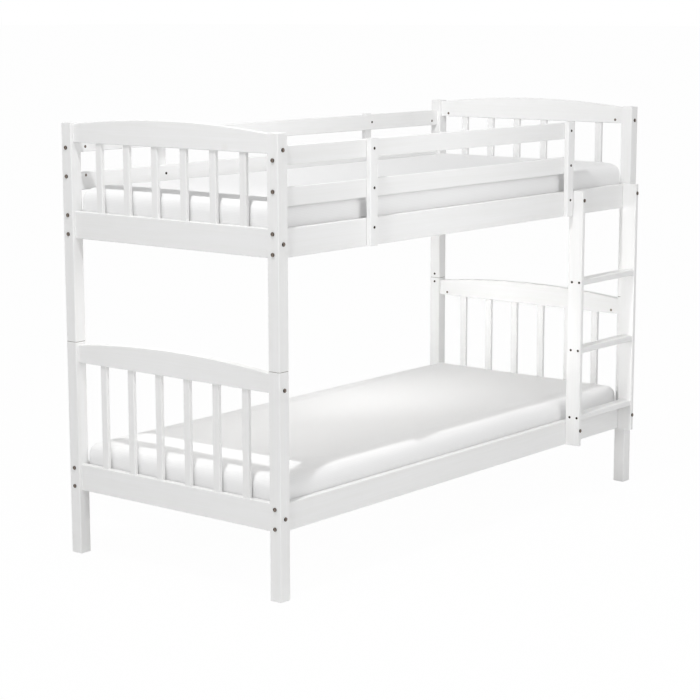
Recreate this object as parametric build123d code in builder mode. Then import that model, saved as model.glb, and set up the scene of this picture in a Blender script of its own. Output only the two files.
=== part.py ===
"""Bunk bed: two single beds stacked on split posts, with arched ends, guards and a bolted ladder."""

import os

from build123d import *

os.makedirs("parts", exist_ok=True)

# Overall frame
bed_length = 2080.0
bed_width = 946.0
post_size = 45.0
post_half = 729.0
post_edge = 2.0
post_end_ease = 1.5

# Rails of the two beds, all cut from one board section
rail_thick = 22.0
rail_height = 90.0
rail_edge = 2.0
lower_rail_bottom = 220.0
upper_rail_lift = 348.0

# Arched head rails
arch_end_height = 60.0
arch_rise = 24.0
lower_arch_drop = 70.0
upper_arch_drop = 64.0

# Flat spindles with stub tenons
spindle_count = 6
spindle_width = 28.0
spindle_thick = 14.0
spindle_edge = 2.0
tenon_width = 20.0
tenon_thick = 8.0
tenon_length = 12.0
mortise_clearance = 0.3

# Guard boards and their uprights
guard_thick = 18.0
guard_height = 59.0
guard_gap = 66.5
guard_edge = 2.0
upright_width = 38.0
upright_thick = 18.0
upright_over = 3.0
left_upright_from_end = 439.0

# Ladder
ladder_width = 390.0
ladder_post_gap = 16.0
ladder_guard_gap = 2.0
ladder_top_over = 2.0
stile_thick = 18.0
stile_depth = 59.0
stile_edge = 2.0
rung_names = ["bottom", "middle", "top"]
rung_pitch = 253.7
bottom_rung_top = 337.0
rung_depth = 45.0
rung_height = 22.0
rung_setback = 3.0
rung_edge = 3.0
ladder_bolt_up = 58.0
ladder_bolt_grip = 16.0

# Slatted bases
cleat_width = 22.0
cleat_height = 25.0
cleat_lift = 3.0
cleat_end_gap = 62.0
slat_count = 13
slat_width = 68.0
slat_thick = 15.0
slat_end_gap = 1.0

# Mattresses
mattress_end_play = 2.5
mattress_side_play = 2.5
mattress_seat_gap = 0.3
mattress_corner = 38.0
mattress_round = 24.0
mattress_drawn_in = 3.0
mattress_crown = 9.0
mattress_flat = 220.0
upper_mattress_thick = 130.0
lower_mattress_thick = 124.0

# Connector bolts, barrel nuts and post dowels: small round pieces, drawn with few flats
shank_sides = 8
head_sides = 12
bolt_head = 13.0
bolt_head_height = 3.0
bolt_shank = 6.0
bolt_clearance = 0.3
bolt_past_nut = 9.0
nut_diameter = 10.0
nut_clearance = 0.2
nut_inset = 34.0
nut_skin = 3.0
nut_end_gap = 0.5
thread_clearance = 0.1
rail_bolt_edge = 13.5
arch_bolt_up = 12.5
top_guard_bolt_up = 17.0
lower_guard_bolt_down = 11.0
dowel_diameter = 12.0
dowel_clearance = 0.3
dowel_half = 48.0
dowel_end_gap = 2.0

# Places shared by the pieces
half_length = bed_length / 2
inner_x = half_length - post_size
post_x = half_length - post_size / 2
rail_recess = (post_size - rail_thick) / 2
front_reach = stile_depth - rail_recess + bolt_head_height
back_reach = upright_thick - rail_recess
front_y = front_reach - (front_reach + bed_width + back_reach) / 2
back_y = front_y + bed_width
inner_front_y = front_y + post_size
inner_back_y = back_y - post_size
mid_y = (front_y + back_y) / 2
span_y = inner_back_y - inner_front_y

ends = {"left": -1, "right": 1}
sides = {"front": -1, "back": 1}
floors = {"lower": 0.0, "upper": post_half}
post_y = {"front": front_y + post_size / 2, "back": back_y - post_size / 2}
rail_bottom = {"lower": lower_rail_bottom, "upper": post_half + upper_rail_lift}
arch_bottom = {"lower": post_half - lower_arch_drop, "upper": 2 * post_half - upper_arch_drop}
rail_outer_y = {"front": front_y + rail_recess, "back": back_y - rail_recess}

guard_bottom = {"lower": rail_bottom["upper"] + rail_height + guard_gap}
guard_bottom["top"] = guard_bottom["lower"] + guard_height + guard_gap
guard_bolt_z = {"top": guard_bottom["top"] + top_guard_bolt_up}
guard_bolt_z["lower"] = guard_bottom["lower"] + guard_height - lower_guard_bolt_down
guard_top = guard_bottom["top"] + guard_height

ladder_right_x = inner_x - ladder_post_gap
ladder_left_x = ladder_right_x - ladder_width
guard_end_x = ladder_left_x - ladder_guard_gap
stile_x = {"left": ladder_left_x + stile_thick / 2, "right": ladder_right_x - stile_thick / 2}
stile_front_y = rail_outer_y["front"] - stile_depth
rung_y = stile_front_y + rung_setback + rung_depth / 2
upright_x = {"left": left_upright_from_end - half_length + upright_width / 2}
upright_x["right"] = guard_end_x - upright_width / 2

slat_bottom = {level: z + cleat_lift + cleat_height for level, z in rail_bottom.items()}
bolt_hole = bolt_shank + 2 * bolt_clearance
nut_hole = nut_diameter + 2 * nut_clearance
bolt_reach = post_size + nut_inset + bolt_past_nut
bore_depth = bolt_reach - post_size + bolt_clearance
nut_x = inner_x - nut_inset
mortise_thick = tenon_thick + 2 * mortise_clearance
mortise_width = tenon_width + 2 * mortise_clearance
spindle_pitch = (span_y - spindle_count * spindle_width) / (spindle_count + 1) + spindle_width


def save(piece, name):
    piece.part.label = name
    export_step(piece.part, "parts/" + name + ".step")


# Heights of the bolts that hold each bed's end rails and side rails
end_bolt_z = {}
side_bolt_z = {}
for level in floors:
    rail_mid = rail_bottom[level] + rail_height / 2
    end_bolt_z[level] = {"bottom": rail_mid, "arched": arch_bottom[level] + arch_bolt_up}
    low = rail_bottom[level] + rail_bolt_edge
    high = rail_bottom[level] + rail_height - rail_bolt_edge
    side_bolt_z[level] = [low, high]

# Guard boards are flush with the outer faces of the side rails
guard_y = {"front": rail_outer_y["front"] + guard_thick / 2}
guard_y["back"] = rail_outer_y["back"] - guard_thick / 2

# Posts, split at mid height, each half drilled for its bolts and its dowel
for level, floor in floors.items():
    for side in sides:
        for end, sx in ends.items():
            has_guard = level == "upper" and (side, end) != ("front", "right")
            with BuildPart() as post:
                with BuildSketch(Plane.XY.offset(floor)) as section:
                    with Locations((sx * post_x, post_y[side])):
                        Rectangle(post_size, post_size)
                    chamfer(section.vertices(), post_edge)
                extrude(amount=post_half)
                rims = post.faces().filter_by(Axis.Z).edges()
                chamfer(rims, post_end_ease)
                with BuildSketch(Plane.XZ.offset(-post_y[side])):
                    with Locations(*[(sx * post_x, z) for z in end_bolt_z[level].values()]):
                        RegularPolygon(bolt_hole / 2, shank_sides)
                extrude(amount=post_size, both=True, mode=Mode.SUBTRACT)
                with BuildSketch(Plane.YZ.offset(sx * post_x)):
                    with Locations(*[(post_y[side], z) for z in side_bolt_z[level]]):
                        RegularPolygon(bolt_hole / 2, shank_sides)
                    if has_guard:
                        with Locations(*[(guard_y[side], z) for z in guard_bolt_z.values()]):
                            RegularPolygon(bolt_hole / 2, shank_sides)
                extrude(amount=post_size, both=True, mode=Mode.SUBTRACT)
                with BuildSketch(Plane.XY.offset(post_half)):
                    with Locations((sx * post_x, post_y[side])):
                        RegularPolygon(dowel_diameter / 2 + dowel_clearance, head_sides)
                dowel_bore = dowel_half + dowel_end_gap
                extrude(amount=-dowel_bore if level == "lower" else dowel_bore, mode=Mode.SUBTRACT)
            save(post, side + "_" + end + "_" + level + "_post")

# End panels: straight bottom rail, arched top rail and six flat spindles
for level in floors:
    for end, sx in ends.items():
        inner_face = Plane.YZ.offset(sx * (post_x - rail_thick / 2))
        nut_y = [inner_front_y + nut_inset, inner_back_y - nut_inset]
        rail_top = rail_bottom[level] + rail_height

        with BuildPart() as bottom_rail:
            with BuildSketch(Plane.XZ.offset(-inner_front_y)) as section:
                with Locations((sx * post_x, rail_bottom[level] + rail_height / 2)):
                    Rectangle(rail_thick, rail_height)
                chamfer(section.vertices(), rail_edge)
            extrude(amount=-span_y)
            with BuildSketch(Plane.XY.offset(rail_top)):
                with Locations((sx * post_x, mid_y)):
                    with GridLocations(1, spindle_pitch, 1, spindle_count):
                        Rectangle(mortise_thick, mortise_width)
            extrude(amount=-tenon_length - mortise_clearance, mode=Mode.SUBTRACT)
            bolt_z = end_bolt_z[level]["bottom"]
            with BuildSketch(Plane.XZ.offset(-inner_front_y)):
                with Locations((sx * post_x, bolt_z)):
                    RegularPolygon(bolt_hole / 2, shank_sides)
            extrude(amount=-bore_depth, mode=Mode.SUBTRACT)
            with BuildSketch(Plane.XZ.offset(-inner_back_y)):
                with Locations((sx * post_x, bolt_z)):
                    RegularPolygon(bolt_hole / 2, shank_sides)
            extrude(amount=bore_depth, mode=Mode.SUBTRACT)
            with BuildSketch(inner_face):
                with Locations(*[(y, bolt_z) for y in nut_y]):
                    RegularPolygon(nut_hole / 2, shank_sides)
            extrude(amount=sx * (rail_thick - nut_skin), mode=Mode.SUBTRACT)
        save(bottom_rail, end + "_" + level + "_bottom_rail")

        with BuildPart() as arched_rail:
            with BuildSketch(Plane.YZ.offset(sx * post_x)):
                with BuildLine():
                    base = arch_bottom[level]
                    shoulder = base + arch_end_height
                    front_tip = (inner_front_y, shoulder)
                    back_tip = (inner_back_y, shoulder)
                    Polyline(back_tip, (inner_back_y, base), (inner_front_y, base), front_tip)
                    ThreePointArc(front_tip, (mid_y, shoulder + arch_rise), back_tip)
                make_face()
            extrude(amount=rail_thick / 2, both=True)
            face_edges = arched_rail.faces().filter_by(Axis.X).edges()
            chamfer(face_edges.filter_by(Axis.Z, reverse=True), rail_edge)
            with BuildSketch(Plane.XY.offset(arch_bottom[level])):
                with Locations((sx * post_x, mid_y)):
                    with GridLocations(1, spindle_pitch, 1, spindle_count):
                        Rectangle(mortise_thick, mortise_width)
            extrude(amount=tenon_length + mortise_clearance, mode=Mode.SUBTRACT)
            bolt_z = end_bolt_z[level]["arched"]
            with BuildSketch(Plane.XZ.offset(-inner_front_y)):
                with Locations((sx * post_x, bolt_z)):
                    RegularPolygon(bolt_hole / 2, shank_sides)
            extrude(amount=-bore_depth, mode=Mode.SUBTRACT)
            with BuildSketch(Plane.XZ.offset(-inner_back_y)):
                with Locations((sx * post_x, bolt_z)):
                    RegularPolygon(bolt_hole / 2, shank_sides)
            extrude(amount=bore_depth, mode=Mode.SUBTRACT)
            with BuildSketch(inner_face):
                with Locations(*[(y, bolt_z) for y in nut_y]):
                    RegularPolygon(nut_hole / 2, shank_sides)
            extrude(amount=sx * (rail_thick - nut_skin), mode=Mode.SUBTRACT)
        save(arched_rail, end + "_" + level + "_arched_rail")

        with BuildPart() as spindles:
            with BuildSketch(Plane.XY.offset(rail_top)) as section:
                with Locations((sx * post_x, mid_y)):
                    with GridLocations(1, spindle_pitch, 1, spindle_count):
                        Rectangle(spindle_thick, spindle_width)
                chamfer(section.vertices(), spindle_edge)
            extrude(amount=arch_bottom[level] - rail_top)
            with BuildSketch(Plane.XY.offset(rail_top - tenon_length)):
                with Locations((sx * post_x, mid_y)):
                    with GridLocations(1, spindle_pitch, 1, spindle_count):
                        Rectangle(tenon_thick, tenon_width)
            extrude(amount=arch_bottom[level] - rail_top + 2 * tenon_length)
        save(spindles, end + "_" + level + "_spindles")

# Side rails, bored at both ends for two bolts and their barrel nuts
for level in floors:
    for side, sy in sides.items():
        rail_inner_y = rail_outer_y[side] - sy * rail_thick
        with BuildPart() as side_rail:
            with BuildSketch(Plane.YZ.offset(-inner_x)) as section:
                with Locations((post_y[side], rail_bottom[level] + rail_height / 2)):
                    Rectangle(rail_thick, rail_height)
                chamfer(section.vertices(), rail_edge)
            extrude(amount=2 * inner_x)
            for sx in ends.values():
                with BuildSketch(Plane.YZ.offset(sx * inner_x)):
                    with Locations(*[(post_y[side], z) for z in side_bolt_z[level]]):
                        RegularPolygon(bolt_hole / 2, shank_sides)
                extrude(amount=-sx * bore_depth, mode=Mode.SUBTRACT)
            with BuildSketch(Plane.XZ.offset(-rail_inner_y)):
                with Locations(*[(sx * nut_x, z) for sx in ends.values() for z in side_bolt_z[level]]):
                    RegularPolygon(nut_hole / 2, shank_sides)
            extrude(amount=-sy * (rail_thick - nut_skin), mode=Mode.SUBTRACT)
            if side == "front":
                ladder_bolt = rail_bottom[level] + ladder_bolt_up
                with BuildSketch(Plane.XZ.offset(-rail_outer_y[side])):
                    with Locations(*[(x, ladder_bolt) for x in stile_x.values()]):
                        RegularPolygon(bolt_hole / 2, shank_sides)
                extrude(amount=-ladder_bolt_grip - bolt_clearance, mode=Mode.SUBTRACT)
        save(side_rail, level + "_" + side + "_side_rail")

        with BuildPart() as cleat:
            cleat_y = rail_inner_y - sy * cleat_width / 2
            with BuildSketch(Plane.YZ.offset(cleat_end_gap - inner_x)):
                with Locations((cleat_y, slat_bottom[level] - cleat_height / 2)):
                    Rectangle(cleat_width, cleat_height)
            extrude(amount=2 * (inner_x - cleat_end_gap))
        save(cleat, level + "_" + side + "_slat_cleat")

    slat_length = bed_width - 2 * (rail_recess + rail_thick + slat_end_gap)
    slat_pitch = (2 * (inner_x - cleat_end_gap) - slat_width) / (slat_count - 1)
    with BuildPart() as slats:
        with BuildSketch(Plane.XY.offset(slat_bottom[level])):
            with Locations((0, mid_y)):
                with GridLocations(slat_pitch, 1, slat_count, 1):
                    Rectangle(slat_width, slat_length)
        extrude(amount=slat_thick)
    save(slats, level + "_slats")

# Guards: two boards a side on the upper bed, with two uprights on their outer faces
for side, sy in sides.items():
    board_end_x = guard_end_x if side == "front" else inner_x
    bolted_ends = [-1] if side == "front" else [-1, 1]
    for row in guard_bottom:
        with BuildPart() as board:
            with BuildSketch(Plane.YZ.offset(-inner_x)) as section:
                with Locations((guard_y[side], guard_bottom[row] + guard_height / 2)):
                    Rectangle(guard_thick, guard_height)
                chamfer(section.vertices(), guard_edge)
            extrude(amount=board_end_x + inner_x)
            for sx in bolted_ends:
                with BuildSketch(Plane.YZ.offset(sx * inner_x)):
                    with Locations((guard_y[side], guard_bolt_z[row])):
                        RegularPolygon(bolt_hole / 2, shank_sides)
                extrude(amount=-sx * bore_depth, mode=Mode.SUBTRACT)
            with BuildSketch(Plane.XZ.offset(sy * guard_thick - rail_outer_y[side])):
                with Locations(*[(sx * nut_x, guard_bolt_z[row]) for sx in bolted_ends]):
                    RegularPolygon(nut_hole / 2, shank_sides)
            extrude(amount=-sy * (guard_thick - nut_skin), mode=Mode.SUBTRACT)
        save(board, side + "_guard_" + row + "_board")

    for place, x in upright_x.items():
        with BuildPart() as upright:
            with BuildSketch(Plane.XY.offset(rail_bottom["upper"])) as section:
                with Locations((x, rail_outer_y[side] + sy * upright_thick / 2)):
                    Rectangle(upright_width, upright_thick)
                chamfer(section.vertices(), guard_edge)
            extrude(amount=guard_top + upright_over - rail_bottom["upper"])
        save(upright, side + "_guard_" + place + "_upright")

# Ladder: two stiles set edge-on against the front rails, with flat rungs between them
ladder_top = rail_bottom["upper"] + rail_height + ladder_top_over
ladder_bolt_z = [rail_bottom[level] + ladder_bolt_up for level in floors]
for place, x in stile_x.items():
    with BuildPart() as stile:
        with BuildSketch(Plane.XY.offset(rail_bottom["lower"])) as section:
            with Locations((x, rail_outer_y["front"] - stile_depth / 2)):
                Rectangle(stile_thick, stile_depth)
            chamfer(section.vertices(), stile_edge)
        extrude(amount=ladder_top - rail_bottom["lower"])
        with BuildSketch(Plane.XZ.offset(-stile_front_y)):
            with Locations(*[(x, z) for z in ladder_bolt_z]):
                RegularPolygon(bolt_hole / 2, shank_sides)
        extrude(amount=-stile_depth, mode=Mode.SUBTRACT)
    save(stile, "ladder_" + place + "_stile")

for count, place in enumerate(rung_names):
    rung_top = bottom_rung_top + count * rung_pitch
    with BuildPart() as rung:
        with BuildSketch(Plane.YZ.offset(ladder_left_x + stile_thick)) as section:
            with Locations((rung_y, rung_top - rung_height / 2)):
                Rectangle(rung_depth, rung_height)
            chamfer(section.vertices(), rung_edge)
        extrude(amount=ladder_width - 2 * stile_thick)
    save(rung, "ladder_" + place + "_rung")

# Connector bolts: round heads on the posts, shanks through to the barrel nuts
with BuildPart() as end_rail_bolts:
    for side, sy in sides.items():
        face_y = front_y if side == "front" else back_y
        spots = []
        for sx in ends.values():
            for level in floors:
                spots += [(sx * post_x, z) for z in end_bolt_z[level].values()]
        with BuildSketch(Plane.XZ.offset(-face_y)):
            with Locations(*spots):
                RegularPolygon(bolt_head / 2, head_sides)
        extrude(amount=-sy * bolt_head_height)
        with BuildSketch(Plane.XZ.offset(-face_y)):
            with Locations(*spots):
                RegularPolygon(bolt_shank / 2, shank_sides)
        extrude(amount=sy * bolt_reach)
save(end_rail_bolts, "end_rail_bolts")

with BuildPart() as side_rail_bolts:
    for sx in ends.values():
        spots = [(post_y[side], z) for side in sides for level in floors for z in side_bolt_z[level]]
        with BuildSketch(Plane.YZ.offset(sx * half_length)):
            with Locations(*spots):
                RegularPolygon(bolt_head / 2, head_sides)
        extrude(amount=sx * bolt_head_height)
        with BuildSketch(Plane.YZ.offset(sx * half_length)):
            with Locations(*spots):
                RegularPolygon(bolt_shank / 2, shank_sides)
        extrude(amount=-sx * bolt_reach)
save(side_rail_bolts, "side_rail_bolts")

with BuildPart() as guard_bolts:
    for sx in ends.values():
        spots = [(guard_y["back"], z) for z in guard_bolt_z.values()]
        if sx < 0:
            spots += [(guard_y["front"], z) for z in guard_bolt_z.values()]
        with BuildSketch(Plane.YZ.offset(sx * half_length)):
            with Locations(*spots):
                RegularPolygon(bolt_head / 2, head_sides)
        extrude(amount=sx * bolt_head_height)
        with BuildSketch(Plane.YZ.offset(sx * half_length)):
            with Locations(*spots):
                RegularPolygon(bolt_shank / 2, shank_sides)
        extrude(amount=-sx * bolt_reach)
save(guard_bolts, "guard_bolts")

with BuildPart() as ladder_bolts:
    spots = [(x, z) for x in stile_x.values() for z in ladder_bolt_z]
    with BuildSketch(Plane.XZ.offset(-stile_front_y)):
        with Locations(*spots):
            RegularPolygon(bolt_head / 2, head_sides)
    extrude(amount=bolt_head_height)
    with BuildSketch(Plane.XZ.offset(-stile_front_y)):
        with Locations(*spots):
            RegularPolygon(bolt_shank / 2, shank_sides)
    extrude(amount=-stile_depth - ladder_bolt_grip)
save(ladder_bolts, "ladder_bolts")

# Barrel nuts, flush with the inner faces of the rails and boards
with BuildPart() as end_rail_nuts:
    for sx in ends.values():
        spots = []
        for level in floors:
            for z in end_bolt_z[level].values():
                spots += [(inner_front_y + nut_inset, z), (inner_back_y - nut_inset, z)]
        with BuildSketch(Plane.YZ.offset(sx * (post_x - rail_thick / 2))):
            with Locations(*spots):
                RegularPolygon(nut_diameter / 2, shank_sides)
        extrude(amount=sx * (rail_thick - nut_skin - nut_end_gap))
    with BuildSketch(Plane.XZ.offset(-mid_y)):
        heights = [z for level in floors for z in end_bolt_z[level].values()]
        with Locations(*[(sx * post_x, z) for sx in ends.values() for z in heights]):
            RegularPolygon(bolt_shank / 2 + thread_clearance, shank_sides)
    extrude(amount=span_y / 2, both=True, mode=Mode.SUBTRACT)
save(end_rail_nuts, "end_rail_barrel_nuts")

with BuildPart() as side_rail_nuts:
    for side, sy in sides.items():
        rows = [z for level in floors for z in side_bolt_z[level]]
        with BuildSketch(Plane.XZ.offset(sy * rail_thick - rail_outer_y[side])):
            with Locations(*[(sx * nut_x, z) for sx in ends.values() for z in rows]):
                RegularPolygon(nut_diameter / 2, shank_sides)
        extrude(amount=-sy * (rail_thick - nut_skin - nut_end_gap))
    with BuildSketch(Plane.YZ):
        rows = [z for level in floors for z in side_bolt_z[level]]
        with Locations(*[(post_y[side], z) for side in sides for z in rows]):
            RegularPolygon(bolt_shank / 2 + thread_clearance, shank_sides)
    extrude(amount=inner_x, both=True, mode=Mode.SUBTRACT)
save(side_rail_nuts, "side_rail_barrel_nuts")

with BuildPart() as guard_nuts:
    for side, sy in sides.items():
        bolted_ends = [-1] if side == "front" else [-1, 1]
        with BuildSketch(Plane.XZ.offset(sy * guard_thick - rail_outer_y[side])):
            with Locations(*[(sx * nut_x, z) for sx in bolted_ends for z in guard_bolt_z.values()]):
                RegularPolygon(nut_diameter / 2, shank_sides)
        extrude(amount=-sy * (guard_thick - nut_skin - nut_end_gap))
    with BuildSketch(Plane.YZ):
        with Locations(*[(guard_y[side], z) for side in sides for z in guard_bolt_z.values()]):
            RegularPolygon(bolt_shank / 2 + thread_clearance, shank_sides)
    extrude(amount=inner_x, both=True, mode=Mode.SUBTRACT)
save(guard_nuts, "guard_barrel_nuts")

# Dowels that locate the upper posts on the lower ones
with BuildPart() as post_dowels:
    with BuildSketch(Plane.XY.offset(post_half - dowel_half)):
        with Locations(*[(sx * post_x, post_y[side]) for sx in ends.values() for side in sides]):
            RegularPolygon(dowel_diameter / 2, head_sides)
    extrude(amount=2 * dowel_half)
save(post_dowels, "post_dowels")

# Mattresses: rounded edges, sides drawn in towards the seams and a crowned top
mattress_length = bed_length - 2 * (rail_recess + rail_thick + mattress_end_play)
mattress_width = bed_width - 2 * (rail_recess + rail_thick + mattress_side_play)
for level, thick in {"lower": lower_mattress_thick, "upper": upper_mattress_thick}.items():
    seat = slat_bottom[level] + slat_thick + mattress_seat_gap
    brim = thick - mattress_crown
    layers = [
        (0.0, mattress_round),
        (mattress_round, mattress_drawn_in),
        (brim / 2, 0.0),
        (brim - mattress_round, mattress_drawn_in),
        (brim, mattress_round),
        (thick, mattress_flat),
    ]
    with BuildPart() as mattress:
        for height, inset in layers:
            with BuildSketch(Plane.XY.offset(seat + height)):
                with Locations((0, mid_y)):
                    length = mattress_length - 2 * inset
                    width = mattress_width - 2 * inset
                    RectangleRounded(length, width, mattress_corner)
        loft(ruled=True)
    save(mattress, level + "_mattress")
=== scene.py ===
"""A white bunk bed with a bolted ladder: finishes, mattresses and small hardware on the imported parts."""

import math

import bmesh
import bpy
from mathutils import Matrix, Vector


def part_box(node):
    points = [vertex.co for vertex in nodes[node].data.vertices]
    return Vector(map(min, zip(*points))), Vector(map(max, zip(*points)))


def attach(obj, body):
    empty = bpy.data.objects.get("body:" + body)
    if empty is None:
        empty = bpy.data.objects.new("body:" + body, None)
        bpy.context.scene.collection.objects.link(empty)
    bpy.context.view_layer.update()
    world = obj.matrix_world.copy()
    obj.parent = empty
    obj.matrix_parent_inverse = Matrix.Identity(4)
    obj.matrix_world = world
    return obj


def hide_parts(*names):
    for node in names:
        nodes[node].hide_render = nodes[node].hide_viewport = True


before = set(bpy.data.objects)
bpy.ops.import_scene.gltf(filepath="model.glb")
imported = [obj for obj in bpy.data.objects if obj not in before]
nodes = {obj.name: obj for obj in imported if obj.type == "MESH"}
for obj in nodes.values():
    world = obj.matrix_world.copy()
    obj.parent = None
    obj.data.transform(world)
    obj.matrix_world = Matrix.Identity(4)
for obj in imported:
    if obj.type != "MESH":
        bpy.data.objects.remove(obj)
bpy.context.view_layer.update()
scene = bpy.context.scene
MM = 0.001

# Camera: in front of the bed and to its left, a little higher than its top
STANDPOINT = (-5.433715, -4.299080, 1.817948)
AZIMUTH, TILT, ROLL = 0.88839, -0.17253, -0.00157
LENS, SENSOR = 100.105, 36.0
FAR_CLIP = 1000.0

ahead = Vector((math.sin(AZIMUTH) * math.cos(TILT), math.cos(AZIMUTH) * math.cos(TILT), math.sin(TILT)))
across = Vector((math.cos(AZIMUTH), -math.sin(AZIMUTH), 0.0))
above = across.cross(ahead)
right = across * math.cos(ROLL) + above * math.sin(ROLL)
upward = above * math.cos(ROLL) - across * math.sin(ROLL)
lens = bpy.data.cameras.new("camera")
lens.sensor_width = SENSOR
lens.lens = LENS
lens.clip_end = FAR_CLIP
camera = bpy.data.objects.new("camera", lens)
scene.collection.objects.link(camera)
turn = Matrix((right, upward, -ahead)).transposed().to_4x4()
camera.matrix_world = Matrix.Translation(STANDPOINT) @ turn
scene.camera = camera
scene.view_settings.view_transform = "Standard"


def linear(code):
    """A hex colour, as a linear colour with alpha."""
    parts = [int(code[i:i + 2], 16) / 255 for i in (1, 3, 5)]
    return tuple(c / 12.92 if c <= 0.04045 else ((c + 0.055) / 1.055) ** 2.4 for c in parts) + (1.0,)


def add_node(tree, kind, inputs=None, **settings):
    """Adds one node with its settings, and sets or links its inputs by name or number."""
    made = tree.nodes.new(kind)
    for name, value in settings.items():
        setattr(made, name, value)
    for socket, value in (inputs or {}).items():
        if isinstance(value, bpy.types.NodeSocket):
            tree.links.new(value, made.inputs[socket])
        else:
            made.inputs[socket].default_value = value
    return made


def start_finish(name):
    """An empty material and the tree that its nodes go in."""
    finish = bpy.data.materials.new(name)
    finish.use_nodes = True
    finish.node_tree.nodes.clear()
    return finish, finish.node_tree


def grain_scale(wide, long, grain):
    """The scale of a pattern drawn wide across the grain and long along axis number grain."""
    scale = [1 / wide] * 3
    scale[grain] = 1 / long
    return scale


# Lacquered pine: planed boards sprayed with white satin lacquer. The coat hides the colour of the
# wood; what the eye still gets is a faint streak and relief along the grain and a soft sheen.
# Real pine streaks are 1 to 2 mm wide; they are drawn 5 mm wide so that they show at all.
STREAK_WIDE, STREAK_LONG = 5 * MM, 190 * MM
RING_WIDE, RING_LONG = 26 * MM, 900 * MM
KNOT_SPACING = 310 * MM
LACQUER_LIGHT, LACQUER_SHADE, LACQUER_KNOT = "#F0F0F0", "#EDEDEC", "#EAE9E7"
# Where two halves of a post meet, the shadow in the joint is painted on as a thin dark line of painted
# shade.
# It is drawn 1.6 mm wide, a little wider than it is.
JOINT_SHADOW_WIDTH, JOINT_SHADOW_TONE = 1.6 * MM, "#7A736B"


def lacquered_pine(name, grain, joint=None):
    """White lacquer on pine, its grain along axis number grain, with a line of painted shade at height
    joint.
    """
    finish, tree = start_finish(name)
    place = add_node(tree, "ShaderNodeTexCoord").outputs["Object"]
    streak_place = add_node(tree, "ShaderNodeMapping", {
        "Vector": place, "Scale": grain_scale(STREAK_WIDE, STREAK_LONG, grain)})
    ring_place = add_node(tree, "ShaderNodeMapping", {
        "Vector": place, "Scale": grain_scale(RING_WIDE, RING_LONG, grain)})
    knot_place = add_node(tree, "ShaderNodeMapping", {
        "Vector": place, "Scale": grain_scale(KNOT_SPACING, KNOT_SPACING, grain)})
    streaks = add_node(tree, "ShaderNodeTexNoise", {
        "Vector": streak_place.outputs[0], "Scale": 1.0, "Detail": 3.0, "Roughness": 0.6})
    rings = add_node(tree, "ShaderNodeTexNoise", {
        "Vector": ring_place.outputs[0], "Scale": 1.0, "Detail": 2.0, "Distortion": 0.6})
    knots = add_node(tree, "ShaderNodeTexVoronoi", {"Vector": knot_place.outputs[0], "Scale": 1.0})
    knot_spot = add_node(tree, "ShaderNodeMapRange", {
        "Value": knots.outputs["Distance"], "From Min": 0.055, "From Max": 0.02, "To Max": 0.55})
    figure = add_node(tree, "ShaderNodeMath", {
        0: streaks.outputs[0], 1: rings.outputs[0]}, operation="ADD")
    tone = add_node(tree, "ShaderNodeMapRange", {
        "Value": figure.outputs[0], "From Min": 0.75, "From Max": 1.3})
    coat = add_node(tree, "ShaderNodeMix", {
        0: tone.outputs[0], 6: linear(LACQUER_LIGHT), 7: linear(LACQUER_SHADE)}, data_type="RGBA")
    coat = add_node(tree, "ShaderNodeMix", {
        0: knot_spot.outputs[0], 6: coat.outputs[2], 7: linear(LACQUER_KNOT)}, data_type="RGBA")
    # Painted shade: a thin dark band at the joint height stands for the shadow in the joint of the post.
    if joint is not None:
        height = add_node(tree, "ShaderNodeSeparateXYZ", {0: place}).outputs["Z"]
        in_joint_shadow = add_node(tree, "ShaderNodeMath", {
            0: height, 1: joint, 2: JOINT_SHADOW_WIDTH / 2}, operation="COMPARE")
        coat = add_node(tree, "ShaderNodeMix", {
            0: in_joint_shadow.outputs[0], 6: coat.outputs[2], 7: linear(JOINT_SHADOW_TONE)}, data_type="RGBA")
    sheen = add_node(tree, "ShaderNodeMapRange", {
        "Value": streaks.outputs[0], "From Min": 0.3, "From Max": 0.7, "To Min": 0.33, "To Max": 0.43})
    relief = add_node(tree, "ShaderNodeBump", {
        "Height": figure.outputs[0], "Strength": 0.22, "Distance": 0.5 * MM})
    surface = add_node(tree, "ShaderNodeBsdfPrincipled", {
        "Base Color": coat.outputs[2], "Roughness": sheen.outputs[0],
        "Normal": relief.outputs[0], "IOR": 1.5})
    add_node(tree, "ShaderNodeOutputMaterial", {"Surface": surface.outputs[0]})
    return finish


# Bare pine: planed and left raw. Pale wood with darker late-wood bands and a few brown knots, no shine.
# The fibres are drawn 2.5 mm wide, coarser than they are, so that they show close up.
BAND_WIDE, BAND_LONG = 14 * MM, 520 * MM
FIBRE_WIDE, FIBRE_LONG = 2.5 * MM, 90 * MM
BARE_KNOT_SPACING = 240 * MM
BARE_LIGHT, BARE_BAND, BARE_KNOT = "#EDEBE7", "#E5E0D8", "#BBA68D"


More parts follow.
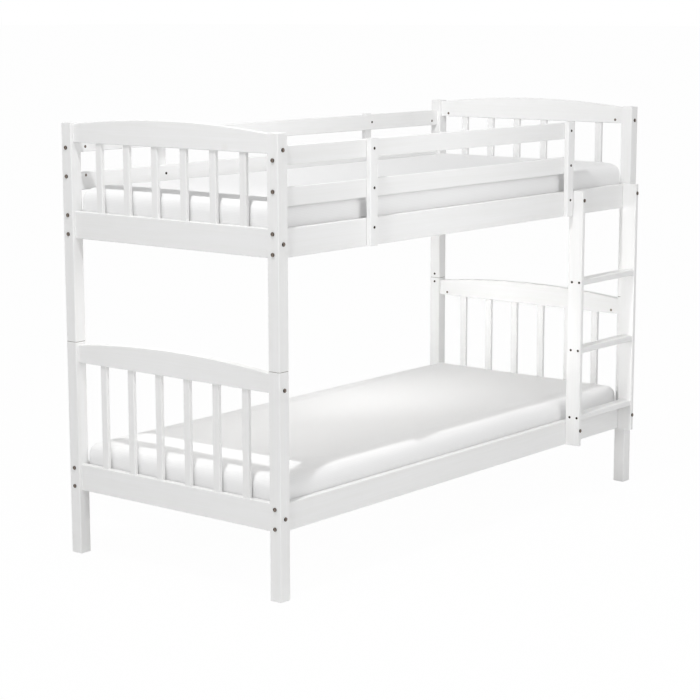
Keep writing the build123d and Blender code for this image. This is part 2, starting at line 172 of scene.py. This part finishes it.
def bare_pine(name, grain):
    """Raw pine whose grain runs along axis number grain."""
    finish, tree = start_finish(name)
    place = add_node(tree, "ShaderNodeTexCoord").outputs["Object"]
    band_place = add_node(tree, "ShaderNodeMapping", {
        "Vector": place, "Scale": grain_scale(BAND_WIDE, BAND_LONG, grain)})
    fibre_place = add_node(tree, "ShaderNodeMapping", {
        "Vector": place, "Scale": grain_scale(FIBRE_WIDE, FIBRE_LONG, grain)})
    knot_place = add_node(tree, "ShaderNodeMapping", {
        "Vector": place, "Scale": grain_scale(BARE_KNOT_SPACING, BARE_KNOT_SPACING, grain)})
    bands = add_node(tree, "ShaderNodeTexNoise", {
        "Vector": band_place.outputs[0], "Scale": 1.0, "Detail": 3.0, "Distortion": 1.2})
    fibres = add_node(tree, "ShaderNodeTexNoise", {
        "Vector": fibre_place.outputs[0], "Scale": 1.0, "Detail": 2.0})
    knots = add_node(tree, "ShaderNodeTexVoronoi", {"Vector": knot_place.outputs[0], "Scale": 1.0})
    knot_spot = add_node(tree, "ShaderNodeMapRange", {
        "Value": knots.outputs["Distance"], "From Min": 0.075, "From Max": 0.03})
    tone = add_node(tree, "ShaderNodeMapRange", {
        "Value": bands.outputs[0], "From Min": 0.42, "From Max": 0.66})
    wood = add_node(tree, "ShaderNodeMix", {
        0: tone.outputs[0], 6: linear(BARE_LIGHT), 7: linear(BARE_BAND)}, data_type="RGBA")
    wood = add_node(tree, "ShaderNodeMix", {
        0: knot_spot.outputs[0], 6: wood.outputs[2], 7: linear(BARE_KNOT)}, data_type="RGBA")
    relief = add_node(tree, "ShaderNodeBump", {
        "Height": fibres.outputs[0], "Strength": 0.35, "Distance": 0.4 * MM})
    rough = add_node(tree, "ShaderNodeMapRange", {
        "Value": fibres.outputs[0], "From Min": 0.3, "From Max": 0.7, "To Min": 0.58, "To Max": 0.72})
    surface = add_node(tree, "ShaderNodeBsdfPrincipled", {
        "Base Color": wood.outputs[2], "Roughness": rough.outputs[0],
        "Normal": relief.outputs[0], "IOR": 1.5})
    add_node(tree, "ShaderNodeOutputMaterial", {"Surface": surface.outputs[0]})
    return finish


PATCH_GRITS = 6  # width of a patch in the plating, in widths of a tumbling mark


def plated_steel(name, light, dark, rough_low, rough_high, grit):
    """Plated steel: a metal reflection broken by fine tumbling marks, with darker patches."""
    finish, tree = start_finish(name)
    place = add_node(tree, "ShaderNodeTexCoord").outputs["Object"]
    marks = add_node(tree, "ShaderNodeTexNoise", {"Vector": place, "Scale": 1 / grit, "Detail": 3.0})
    patches = add_node(tree, "ShaderNodeTexNoise", {
        "Vector": place, "Scale": 1 / (PATCH_GRITS * grit), "Detail": 1.0})
    tint = add_node(tree, "ShaderNodeMix", {
        0: patches.outputs[0], 6: linear(light), 7: linear(dark)}, data_type="RGBA")
    rough = add_node(tree, "ShaderNodeMapRange", {
        "Value": marks.outputs[0], "From Min": 0.3, "From Max": 0.7,
        "To Min": rough_low, "To Max": rough_high})
    relief = add_node(tree, "ShaderNodeBump", {
        "Height": marks.outputs[0], "Strength": 0.2, "Distance": 0.1 * MM})
    surface = add_node(tree, "ShaderNodeBsdfPrincipled", {
        "Base Color": tint.outputs[2], "Metallic": 1.0,
        "Roughness": rough.outputs[0], "Normal": relief.outputs[0]})
    add_node(tree, "ShaderNodeOutputMaterial", {"Surface": surface.outputs[0]})
    return finish


# Mattress cover: bleached cotton, plain woven. Matt and soft edged, with the weave as a fine even tooth.
# Threads are about 0.5 mm apart; the weave is drawn every 5 mm so that it shows close up.
THREAD = 5 * MM
CREASE = 140 * MM
WAVE_PERIOD = 0.314  # length of one wave of the wave texture at scale 1
COTTON_LIGHT, COTTON_SHADE = "#F5F5F5", "#EFEFEF"


def woven_cotton(name):
    """The white cotton of the mattress covers, its weave laid on the piece's own map."""
    finish, tree = start_finish(name)
    cloth = add_node(tree, "ShaderNodeUVMap", uv_map="cover").outputs[0]
    place = add_node(tree, "ShaderNodeTexCoord").outputs["Object"]
    warp, weft = [
        add_node(tree, "ShaderNodeTexWave", {
            "Vector": cloth, "Scale": WAVE_PERIOD / THREAD, "Distortion": 0.6}, bands_direction=direction)
        for direction in "XY"]
    weave = add_node(tree, "ShaderNodeMath", {
        0: warp.outputs["Fac"], 1: weft.outputs["Fac"]}, operation="MULTIPLY")
    creases = add_node(tree, "ShaderNodeTexNoise", {"Vector": place, "Scale": 1 / CREASE, "Detail": 2.0})
    tone = add_node(tree, "ShaderNodeMix", {
        0: weave.outputs[0], 6: linear(COTTON_SHADE), 7: linear(COTTON_LIGHT)}, data_type="RGBA")
    tooth = add_node(tree, "ShaderNodeBump", {
        "Height": weave.outputs[0], "Strength": 0.12, "Distance": 0.6 * MM})
    slack = add_node(tree, "ShaderNodeBump", {
        "Height": creases.outputs[0], "Strength": 0.25, "Distance": 4 * MM, "Normal": tooth.outputs[0]})
    rough = add_node(tree, "ShaderNodeMapRange", {
        "Value": weave.outputs[0], "To Min": 0.92, "To Max": 0.82})
    surface = add_node(tree, "ShaderNodeBsdfPrincipled", {
        "Base Color": tone.outputs[2], "Roughness": rough.outputs[0], "Normal": slack.outputs[0],
        "Sheen Weight": 0.15, "Sheen Roughness": 0.5, "Specular IOR Level": 0.2})
    add_node(tree, "ShaderNodeOutputMaterial", {"Surface": surface.outputs[0]})
    return finish


ALONG_X, ALONG_Y, ALONG_Z = 0, 1, 2
white_pine = [lacquered_pine("white_lacquered_pine_" + axis, i) for i, axis in enumerate("xyz")]
post_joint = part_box("front_left_lower_post")[1].z
post_pine = lacquered_pine("white_lacquered_pine_post", ALONG_Z, post_joint)
raw_pine = [bare_pine("bare_pine_" + axis, i) for i, axis in enumerate("xyz")]
# Bronzed steel: a brown metal gleam. Blackened steel: a darker plating of the same kind, nearly black.
# Zinc steel: a cool pale gleam.
bronzed_steel = plated_steel("bronzed_steel", "#8F847B", "#6B6159", 0.3, 0.45, grit=1.2 * MM)
blackened_steel = plated_steel("blackened_steel", "#484039", "#2E2823", 0.35, 0.5, grit=1.2 * MM)
zinc_steel = plated_steel("zinc_plated_steel", "#C9CCCF", "#A9ADB2", 0.25, 0.4, grit=1.0 * MM)
cotton = woven_cotton("woven_cotton_cover")


def give_finish(piece, finish):
    """Makes finish the only material of a piece."""
    piece.data.materials.clear()
    piece.data.materials.append(finish)


for name, piece in nodes.items():
    if name.endswith("_slats"):
        give_finish(piece, raw_pine[ALONG_Y])
    elif name.endswith("_cleat"):
        give_finish(piece, raw_pine[ALONG_X])
    elif name.endswith(("_bolts", "_nuts")):
        give_finish(piece, bronzed_steel)
    elif name == "post_dowels":
        give_finish(piece, zinc_steel)
    elif name.endswith("_mattress"):
        give_finish(piece, cotton)
    elif name.endswith("_post"):
        give_finish(piece, post_pine)
    elif name.endswith(("_spindles", "_upright", "_stile")):
        give_finish(piece, white_pine[ALONG_Z])
    elif name.endswith(("_bottom_rail", "_arched_rail")):
        give_finish(piece, white_pine[ALONG_Y])
    else:
        give_finish(piece, white_pine[ALONG_X])


EASE_OVER, SMOOTH_UNDER = math.radians(40), math.radians(35)  # angles at an edge
LEVEL = 0.9  # least upright share of the normal of a face that counts as level
SAME_SPOT = 1e-6


def only(piece):
    """Makes a piece the one selected and active object."""
    bpy.ops.object.select_all(action="DESELECT")
    piece.select_set(True)
    bpy.context.view_layer.objects.active = piece


def pick(piece, kind, wanted):
    """In edit mode, selects the faces or edges for which wanted holds, and nothing else."""
    bpy.ops.mesh.select_mode(type=kind)
    bpy.ops.mesh.select_all(action="DESELECT")
    shape = bmesh.from_edit_mesh(piece.data)
    for part in shape.faces if kind == "FACE" else shape.edges:
        part.select = wanted(part)
    shape.select_flush_mode()
    bmesh.update_edit_mesh(piece.data)


def settle(piece):
    """Moves a piece's place into its mesh."""
    only(piece)
    bpy.ops.object.transform_apply(location=True, rotation=True, scale=True)


def apply_modifiers(piece):
    """Applies all the modifiers of a piece, in order."""
    only(piece)
    for modifier in list(piece.modifiers):
        bpy.ops.object.modifier_apply(modifier=modifier.name)


def cut_away(piece, cutter):
    """Cuts one shape out of another and removes the cutter."""
    cut = piece.modifiers.new("cut", "BOOLEAN")
    cut.operation = "DIFFERENCE"
    cut.solver = "EXACT"
    cut.object = cutter
    apply_modifiers(piece)
    bpy.data.objects.remove(cutter)


def ease_edges(piece, width, steps):
    """Rounds the sharp edges of a small fitting and smooths its shading."""
    bevel = piece.modifiers.new("ease", "BEVEL")
    bevel.width = width
    bevel.segments = steps
    bevel.limit_method = "ANGLE"
    bevel.angle_limit = EASE_OVER
    apply_modifiers(piece)
    bpy.ops.object.shade_smooth_by_angle(angle=SMOOTH_UNDER)


def set_copies(model, name, places):
    """Copies a model to each place, joins the copies into one piece, and removes the model."""
    copies = []
    for place in places:
        copy = bpy.data.objects.new(name, model.data.copy())
        scene.collection.objects.link(copy)
        copy.data.transform(place)
        copies.append(copy)
    bpy.data.objects.remove(model)
    only(copies[0])
    for copy in copies:
        copy.select_set(True)
    bpy.ops.object.join()
    copies[0].name = name
    return copies[0]


def solids_of(node):
    """The lowest and highest corners of each separate solid in a CAD node."""
    shape = bmesh.new()
    shape.from_mesh(nodes[node].data)
    bmesh.ops.remove_doubles(shape, verts=shape.verts, dist=SAME_SPOT)
    left = set(shape.verts)
    boxes = []
    while left:
        group = [left.pop()]
        for vert in group:
            for edge in vert.link_edges:
                other = edge.other_vert(vert)
                if other in left:
                    left.remove(other)
                    group.append(other)
        points = [v.co for v in group]
        low = Vector([min(p[i] for p in points) for i in range(3)])
        high = Vector([max(p[i] for p in points) for i in range(3)])
        boxes.append((low, high))
    shape.free()
    return sorted(boxes, key=lambda box: tuple(round(c, 4) for c in box[0]))


def facing(spot, outward):
    """The place of a fitting modelled along +Z, set at spot and turned to face outward."""
    return Matrix.Translation(spot) @ Vector(outward).to_track_quat("Z", "Y").to_matrix().to_4x4()


def at_end(low, high, axis, sign, short=0.0):
    """The place of a fitting that faces out of one end of a box, a little short of that end."""
    outward = Vector((0, 0, 0))
    outward[axis] = sign
    spot = (low + high) / 2
    spot[axis] = (high if sign > 0 else low)[axis] - sign * short
    return facing(spot, outward)


# Connector bolts: low round heads with a hexagon socket, with a painted highlight round the socket
BOLT_HEAD, BOLT_RISE, BOLT_SHANK, BOLT_EASE = 13 * MM, 3 * MM, 6 * MM, 0.7 * MM
SOCKET, SOCKET_DEEP, SOCKET_HIGHLIGHT_RIM = 5.2 * MM, 0.9 * MM, 0.5 * MM


def connector_bolt(reach):
    """One bolt along +Z, the underside of its head at zero."""
    bpy.ops.object.select_all(action="DESELECT")
    bpy.ops.mesh.primitive_cylinder_add(
        vertices=40, radius=BOLT_HEAD / 2, depth=BOLT_RISE, location=(0, 0, BOLT_RISE / 2))
    bolt = bpy.context.object
    settle(bolt)
    bpy.ops.object.mode_set(mode="EDIT")
    pick(bolt, "FACE", lambda face: face.normal.z < -LEVEL)
    bpy.ops.mesh.inset(thickness=(BOLT_HEAD - BOLT_SHANK) / 2)
    bpy.ops.mesh.extrude_region_move(TRANSFORM_OT_translate={"value": (0, 0, -reach)})
    bpy.ops.object.mode_set(mode="OBJECT")
    bpy.ops.object.select_all(action="DESELECT")
    bpy.ops.mesh.primitive_cylinder_add(
        vertices=6, radius=SOCKET / 2, depth=2 * SOCKET_DEEP, location=(0, 0, BOLT_RISE))
    cutter = bpy.context.object
    settle(cutter)
    cut_away(bolt, cutter)
    ease_edges(bolt, BOLT_EASE, 3)
    # Painted highlight and shade: the socket and a thin ring round it take the lighter bronzed steel as a
    # painted highlight of the head; the blackened rest is partly the head's own dark plating, partly
    # painted shade.
    give_finish(bolt, blackened_steel)
    bolt.data.materials.append(bronzed_steel)
    for face in bolt.data.polygons:
        if face.center.z > 0 and face.center.xy.length < SOCKET / 2 + SOCKET_HIGHLIGHT_RIM:
            face.material_index = 1
    return bolt


def bolt_places(node):
    """Where each bolt of a CAD node stands, its head away from the middle of the bed, and its reach."""
    places = []
    for low, high in solids_of(node):
        size = high - low
        axis = max(range(3), key=lambda i: size[i])
        sign = 1 if (low + high)[axis] > 0 else -1
        places.append(at_end(low, high, axis, sign, BOLT_RISE))
        reach = size[axis] - BOLT_RISE
    return places, reach


for node in ("end_rail_bolts", "side_rail_bolts", "guard_bolts", "ladder_bolts"):
    places, reach = bolt_places(node)
    bolts = set_copies(connector_bolt(reach), node.replace("_bolts", "_socket_bolts"), places)
    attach(bolts, "frame")
    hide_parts(node)

# Barrel nuts: turned dowels with a screwdriver slot in the end that shows
NUT, NUT_SLOT, NUT_SLOT_DEEP, NUT_EASE = 10 * MM, 1.6 * MM, 1.8 * MM, 0.3 * MM


def barrel_nut(length):
    """One barrel nut along +Z, its slotted end at zero."""
    bpy.ops.object.select_all(action="DESELECT")
    bpy.ops.mesh.primitive_cylinder_add(
        vertices=32, radius=NUT / 2, depth=length, location=(0, 0, -length / 2))
    nut = bpy.context.object
    settle(nut)
    bpy.ops.object.select_all(action="DESELECT")
    bpy.ops.mesh.primitive_cube_add(size=1, scale=(NUT_SLOT, 1.2 * NUT, 2 * NUT_SLOT_DEEP))
    slot = bpy.context.object
    settle(slot)
    cut_away(nut, slot)
    ease_edges(nut, NUT_EASE, 2)
    return nut


def nut_places(node, axis):
    """Where each nut of a CAD node lies, its slotted end towards the middle of the bed."""
    places = []
    for low, high in solids_of(node):
        sign = -1 if (low + high)[axis] > 0 else 1
        places.append(at_end(low, high, axis, sign))
        length = (high - low)[axis]
    return places, length


NUTS = (
    ("end_rail_barrel_nuts", ALONG_X),
    ("side_rail_barrel_nuts", ALONG_Y),
    ("guard_barrel_nuts", ALONG_Y),
)
for node, axis in NUTS:
    places, length = nut_places(node, axis)
    nuts = set_copies(barrel_nut(length), node.replace("_barrel_nuts", "_slotted_nuts"), places)
    give_finish(nuts, bronzed_steel)
    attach(nuts, "frame")
    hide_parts(node)

# Wood screws: domed heads with a cross recess, let into the wood by half their height
SCREW_HEAD, SCREW_RISE = 9 * MM, 1.0 * MM
CROSS_LONG, CROSS_WIDE, CROSS_DEEP = 4.4 * MM, 1.1 * MM, 0.9 * MM
DOME_STEPS = ((1.1 * MM, 0.35 * MM), (1.0 * MM, 0.12 * MM))  # each step in, and up
DOME_TOP = SCREW_RISE + sum(up for inward, up in DOME_STEPS)


def wood_screw():
    """One screw head along +Z, the face of the wood at zero."""
    bpy.ops.object.select_all(action="DESELECT")
    bpy.ops.mesh.primitive_cylinder_add(vertices=28, radius=SCREW_HEAD / 2, depth=2 * SCREW_RISE)
    head = bpy.context.object
    settle(head)
    bpy.ops.object.mode_set(mode="EDIT")
    pick(head, "FACE", lambda face: face.normal.z > LEVEL)
    for inward, up in DOME_STEPS:
        bpy.ops.mesh.inset(thickness=inward)
        bpy.ops.transform.translate(value=(0, 0, up))
    bpy.ops.object.mode_set(mode="OBJECT")
    for turn in (0, math.pi / 2):
        bpy.ops.object.select_all(action="DESELECT")
        bpy.ops.mesh.primitive_cube_add(
            size=1, scale=(CROSS_LONG, CROSS_WIDE, 2 * CROSS_DEEP), rotation=(0, 0, turn),
            location=(0, 0, DOME_TOP))
        arm = bpy.context.object
        settle(arm)
        cut_away(head, arm)
    only(head)
    bpy.ops.object.shade_smooth_by_angle(angle=SMOOTH_UNDER)
    return head


def centre_of(node):
    """The middle of a CAD node's box."""
    low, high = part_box(node)
    return (low + high) / 2


def set_screws(name, places):
    """Sets a group of screws on the frame."""
    screws = set_copies(wood_screw(), name, places)
    give_finish(screws, blackened_steel)
    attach(screws, "frame")


# Guard screws go through the front uprights, and from the bed side through the back boards
RAIL_SCREW_UP = 60 * MM
for side in ("front", "back"):
    places = []
    rail_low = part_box("upper_" + side + "_side_rail")[0]
    for hand in ("left", "right"):
        upright_low, upright_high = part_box(side + "_guard_" + hand + "_upright")
        x = (upright_low.x + upright_high.x) / 2
        for row in ("lower", "top"):
            board_low, board_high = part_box(side + "_guard_" + row + "_board")
            y = upright_low.y if side == "front" else board_low.y
            places.append(facing((x, y, (board_low.z + board_high.z) / 2), (0, -1, 0)))
        y = upright_low.y if side == "front" else rail_low.y
        places.append(facing((x, y, rail_low.z + RAIL_SCREW_UP), (0, -1, 0)))
    set_screws(side + "_guard_screws", places)

# Rung screws go through the stiles, two into each end of a rung
RUNG_SCREW_APART = 31 * MM
places = []
for rung in ("bottom", "middle", "top"):
    middle = centre_of("ladder_" + rung + "_rung")
    for hand, sign in (("left", -1), ("right", 1)):
        low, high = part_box("ladder_" + hand + "_stile")
        for shift in (-RUNG_SCREW_APART / 2, RUNG_SCREW_APART / 2):
            x = low.x if sign < 0 else high.x
            places.append(facing((x, middle.y + shift, middle.z), (sign, 0, 0)))
set_screws("rung_screws", places)

# Lock screws hold the dowels, above and below the joint of each post
LOCK_SCREW_FROM_JOINT = 16 * MM
places = []
for side in ("front", "back"):
    for hand, sign in (("left", -1), ("right", 1)):
        low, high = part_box(side + "_" + hand + "_lower_post")
        x = high.x if sign < 0 else low.x
        for shift in (-LOCK_SCREW_FROM_JOINT, LOCK_SCREW_FROM_JOINT):
            places.append(facing((x, (low.y + high.y) / 2, high.z + shift), (-sign, 0, 0)))
set_screws("post_lock_screws", places)

# Mattresses: foam blocks in a cotton cover, swelled by cloth simulation and held to their space
PAD_CORNER, PAD_ROUND, PAD_FOOT = 29 * MM, 40 * MM, 16 * MM
PAD_SHRINK, PAD_CROWN, PAD_SWELL = 1.5 * MM, 7 * MM, 7 * MM
PAD_CELL = 14 * MM
CORNER_STEPS, ROUND_STEPS = 8, 6
SWELL_FRAMES, SWELL_PRESSURE = 20, 4.0
SIDE_SHARE = 0.1
SEAT_DEPTH = 8 * MM
SAME_HEIGHT = 0.01 * MM


def foam_block(name, low, high):
    """A block with rounded corners and edges, a little smaller than its space."""
    low = low + Vector((PAD_SHRINK, PAD_SHRINK, 0))
    high = high - Vector((PAD_SHRINK, PAD_SHRINK, PAD_CROWN))
    bpy.ops.object.select_all(action="DESELECT")
    bpy.ops.mesh.primitive_cube_add(size=1, location=(low + high) / 2, scale=high - low)
    block = bpy.context.object
    block.name = name
    settle(block)
    bpy.ops.object.mode_set(mode="EDIT")
    pick(block, "EDGE", lambda edge: abs(edge.verts[0].co.z - edge.verts[1].co.z) > SAME_HEIGHT)
    bpy.ops.mesh.bevel(offset=PAD_CORNER, segments=CORNER_STEPS, affect="EDGES")
    for height, round_off in ((high.z, PAD_ROUND), (low.z, PAD_FOOT)):
        pick(block, "EDGE", lambda edge: all(abs(v.co.z - height) < SAME_HEIGHT for v in edge.verts))
        bpy.ops.mesh.bevel(offset=round_off, segments=ROUND_STEPS, affect="EDGES")
    bpy.ops.object.mode_set(mode="OBJECT")
    block.data.remesh_voxel_size = PAD_CELL
    only(block)
    bpy.ops.object.voxel_remesh()
    return block


def swell(block, low, high):
    """Blows the cover up from inside; the top may rise by the swell, the sides by a small share of it."""
    start = [v.co.copy() for v in block.data.vertices]
    outward = [v.normal.copy() for v in block.data.vertices]
    seat = block.vertex_groups.new(name="seat")
    seat.add([i for i, p in enumerate(start) if p.z < low.z + SEAT_DEPTH], 1.0, "REPLACE")
    cover = block.modifiers.new("cover", "CLOTH")
    cover.settings.use_pressure = True
    cover.settings.uniform_pressure_force = SWELL_PRESSURE
    cover.settings.vertex_group_mass = "seat"
    cover.settings.effector_weights.gravity = 0.0
    cover.point_cache.frame_start = 1
    cover.point_cache.frame_end = SWELL_FRAMES
    for step in range(1, SWELL_FRAMES + 1):
        scene.frame_set(step)
    apply_modifiers(block)
    block.vertex_groups.clear()
    for vert, rest, normal in zip(block.data.vertices, start, outward):
        rise = max(0.0, (vert.co - rest).dot(normal))
        most = PAD_SWELL * max(SIDE_SHARE, normal.z)
        vert.co = rest + normal * (most * math.tanh(rise / most))
        vert.co = [min(max(c, a), b) for c, a, b in zip(vert.co, low, high)]


def finish_pad(block):
    """One level of smoothing, a soft surface and the map that the weave lies on."""
    smooth = block.modifiers.new("smooth", "SUBSURF")
    smooth.levels = 1
    smooth.render_levels = 1
    apply_modifiers(block)
    bpy.ops.object.shade_smooth()
    cover_map = block.data.uv_layers.new(name="cover")
    block.data.uv_layers.active = cover_map
    bpy.ops.object.mode_set(mode="EDIT")
    bpy.ops.mesh.select_all(action="SELECT")
    bpy.ops.uv.cube_project(cube_size=1.0, correct_aspect=False)
    bpy.ops.object.mode_set(mode="OBJECT")


for level in ("lower", "upper"):
    low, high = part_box(level + "_mattress")
    pad = foam_block(level + "_mattress_pad", low, high)
    swell(pad, low, high)
    finish_pad(pad)
    give_finish(pad, cotton)
    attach(pad, level + "_mattress_body")
    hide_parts(level + "_mattress")


def seen_rays(tree):
    """One for rays from the camera, straight, mirrored or let through, and nought for the rest."""
    ray = add_node(tree, "ShaderNodeLightPath").outputs
    seen = ray["Is Camera Ray"]
    for kind in ("Is Glossy Ray", "Is Transmission Ray"):
        seen = add_node(tree, "ShaderNodeMath", {0: seen, 1: ray[kind]}, operation="MAXIMUM").outputs[0]
    return seen


# Floor: plain white, its shadow kept faint by a share of its own white
FLOOR_SIZE = 400.0
FLOOR_OWN_WHITE = 0.98
FLOOR_TONE = "#F4F4F4"
bpy.ops.object.select_all(action="DESELECT")
bpy.ops.mesh.primitive_plane_add(size=FLOOR_SIZE)
floor = bpy.context.object
floor.name = "floor"
floor_paint, tree = start_finish("white_floor")
share = add_node(tree, "ShaderNodeMath", {0: seen_rays(tree), 1: FLOOR_OWN_WHITE}, operation="MULTIPLY")
lit = add_node(tree, "ShaderNodeBsdfDiffuse", {"Color": linear(FLOOR_TONE)})
own = add_node(tree, "ShaderNodeEmission", {"Color": (1, 1, 1, 1), "Strength": 1.0})
both = add_node(tree, "ShaderNodeMixShader", {0: share.outputs[0], 1: lit.outputs[0], 2: own.outputs[0]})
add_node(tree, "ShaderNodeOutputMaterial", {"Surface": both.outputs[0]})
give_finish(floor, floor_paint)

# Room light: even white all round, and plain white where the camera sees past the floor
ROOM_LIGHT = 0.5
world = bpy.data.worlds.new("studio")
scene.world = world
world.use_nodes = True
tree = world.node_tree
tree.nodes.clear()
room = add_node(tree, "ShaderNodeBackground", {"Color": (1, 1, 1, 1), "Strength": ROOM_LIGHT})
white = add_node(tree, "ShaderNodeBackground", {"Color": (1, 1, 1, 1), "Strength": 1.0})
both = add_node(tree, "ShaderNodeMixShader", {
    0: seen_rays(tree), 1: room.outputs[0], 2: white.outputs[0]})
add_node(tree, "ShaderNodeOutputWorld", {"Surface": both.outputs[0]})

# Lamps: name, place, what it is aimed at, length, width, spread in degrees, power.
# The small key lamp draws the shadows, the two panels lighten the sides that face them, and the fills
# lighten the guards, the lower bunk, the right end, the front right leg and the ladder.
LAMPS = (
    ("key_lamp", (-2.12, -0.75, 4.25), (0.0, 0.0, 0.8), 0.1, 0.1, 180, 66.0),
    ("end_panel", (-6.0, -1.8, 2.2), (0.0, 0.0, 0.8), 2.6, 2.6, 180, 32.0),
    ("front_panel", (-0.6, -5.0, 2.6), (0.0, 0.0, 0.8), 2.6, 2.6, 180, 46.0),
    ("guard_fill", (-0.2, -2.6, 1.45), (-0.2, -0.45, 1.28), 0.6, 0.6, 48, 0.55),
    ("bunk_fill", (-0.28, 0.12, 1.05), (-0.28, 0.12, 0.3), 1.9, 0.75, 140, 1.8),
    ("bunk_end_fill", (-0.9, 0.2, 0.95), (1.0, 0.2, 0.72), 0.4, 0.4, 60, 2.0),
    ("upper_end_fill", (-0.9, 0.3, 1.55), (1.0, 0.36, 1.42), 0.4, 0.4, 40, 0.22),
    ("leg_fill", (0.1, -0.43, 0.12), (1.0, -0.43, 0.11), 0.1, 0.1, 26, 0.03),
    ("ladder_fill", (0.3, -0.2, 0.62), (0.98, -0.45, 0.6), 0.2, 0.2, 50, 0.045),
)
for name, place, aim, length, width, spread, power in LAMPS:
    lamp = bpy.data.lights.new(name, "AREA")
    lamp.shape = "ELLIPSE"
    lamp.size = length
    lamp.size_y = width
    lamp.spread = math.radians(spread)
    lamp.energy = power
    holder = bpy.data.objects.new(name, lamp)
    scene.collection.objects.link(holder)
    holder.location = place
    holder.rotation_euler = (Vector(aim) - Vector(place)).to_track_quat("-Z", "Y").to_euler()
